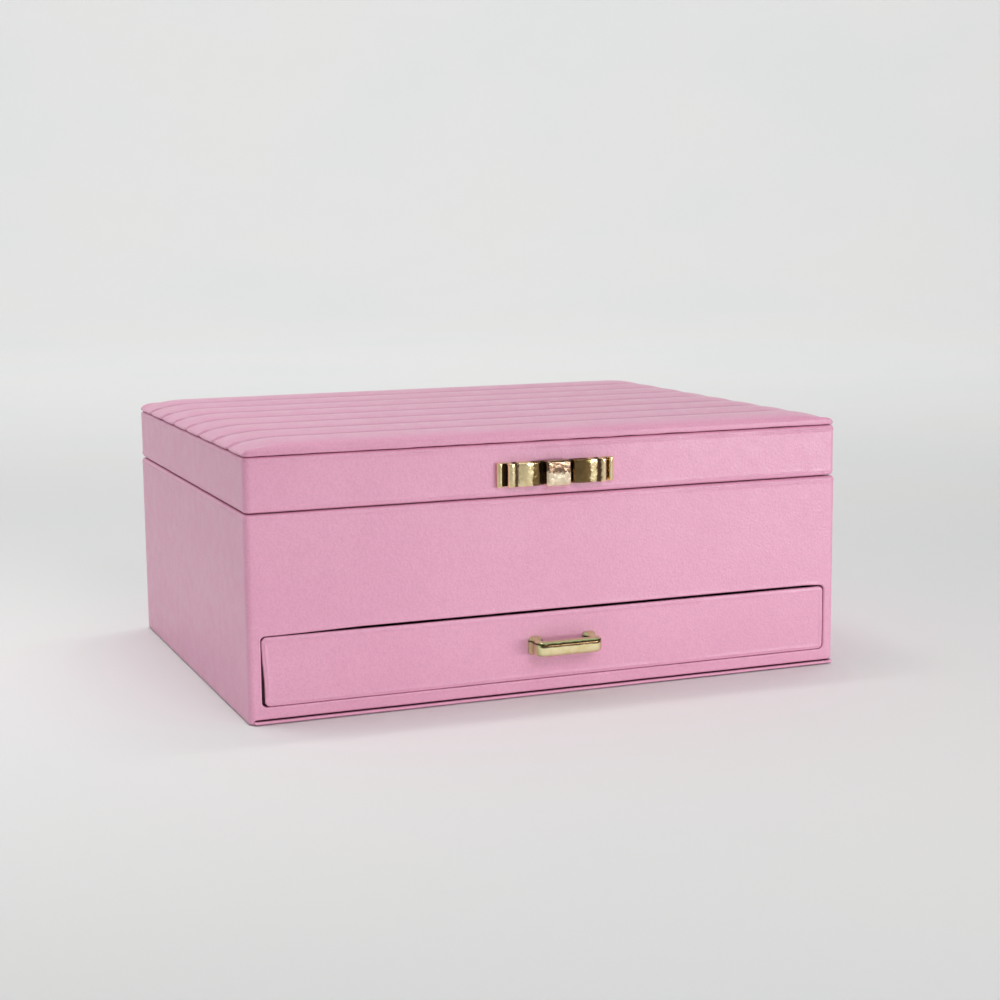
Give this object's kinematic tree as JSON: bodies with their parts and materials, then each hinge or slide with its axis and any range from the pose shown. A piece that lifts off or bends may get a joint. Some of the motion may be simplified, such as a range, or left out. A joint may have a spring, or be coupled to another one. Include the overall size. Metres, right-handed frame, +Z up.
{
  "type": "jewellery box",
  "caption": "Leatherette jewellery chest with a quilted, hinged lid with a mirror inside, a lined and divided upper tray with ring rolls, and a full-width drawer below.",
  "frame": {"origin": "centre of the case's underside, on the surface it stands on", "axes": "+Z up, front and drawer towards -Y, +X to the right seen from the front"},
  "size_m": [0.2508, 0.2059, 0.1062],
  "materials": {
    "leatherette": "soft pink leatherette with a fine grain",
    "quilted_leatherette": "soft pink leatherette, quilted in straight channels",
    "fibreboard": "raw medium density fibreboard",
    "velvet": "pale blush flocked velvet",
    "underside_felt": "thin pressed felt",
    "foam": "open cell foam",
    "mirror_glass": "silvered glass",
    "gold_plate": "polished gold plating on cast zinc",
    "hinge_brass": "satin brass plating",
    "steel": "plain zinc plated steel"
  },
  "bodies": {
    "case": {"base_felt": "underside_felt", "base_board": "leatherette", "bottom_panel": "fibreboard", "front_panel": "fibreboard", "back_panel": "fibreboard", "left_panel": "fibreboard", "right_panel": "fibreboard", "deck_panel": "fibreboard", "case_wrap": "leatherette", "bay_felt": "velvet", "drawer_stops": "velvet", "front_liner": "velvet", "back_liner": "velvet", "left_liner": "velvet", "right_liner": "velvet", "floor_liner": "velvet", "ring_block": "velvet", "ring_rolls": "velvet", "long_divider": "velvet", "left_cross_divider": "velvet", "right_cross_divider": "velvet", "short_dividers": "velvet", "case_magnets": "steel", "left_case_hinge_leaf": "hinge_brass", "right_case_hinge_leaf": "hinge_brass", "left_hinge_pin": "hinge_brass", "right_hinge_pin": "hinge_brass", "case_hinge_screws": "hinge_brass"},
    "lid": {"lid_front_board": "fibreboard", "lid_back_board": "fibreboard", "lid_left_board": "fibreboard", "lid_right_board": "fibreboard", "lid_top_board": "fibreboard", "lid_wrap": "leatherette", "pad_board": "fibreboard", "pad_foam": "foam", "quilted_cover": "quilted_leatherette", "lid_liner": "velvet", "mirror_surround": "velvet", "mirror": "mirror_glass", "bow_ornament": "gold_plate", "bow_push_nuts": "steel", "lid_magnets": "steel", "left_lid_hinge_leaf": "hinge_brass", "right_lid_hinge_leaf": "hinge_brass", "lid_hinge_screws": "hinge_brass"},
    "drawer": {"drawer_front_board": "fibreboard", "drawer_front_wrap": "leatherette", "drawer_left_side": "velvet", "drawer_right_side": "velvet", "drawer_back": "velvet", "drawer_bottom": "velvet", "drawer_liner": "velvet", "drawer_long_divider": "velvet", "drawer_short_dividers": "velvet", "drawer_handle": "gold_plate", "handle_screws": "steel"}
  },
  "joints": [
    {"name": "lid_hinge", "type": "hinge", "parent": "case", "child": "lid", "pos_m": [0, 0.097, 0.07955], "axis": [-1, 0, 0], "range_deg": [0, 95]},
    {"name": "drawer_slide", "type": "slide", "parent": "case", "child": "drawer", "axis": [0, -1, 0], "range_m": [0, 0.13]}
  ]
}
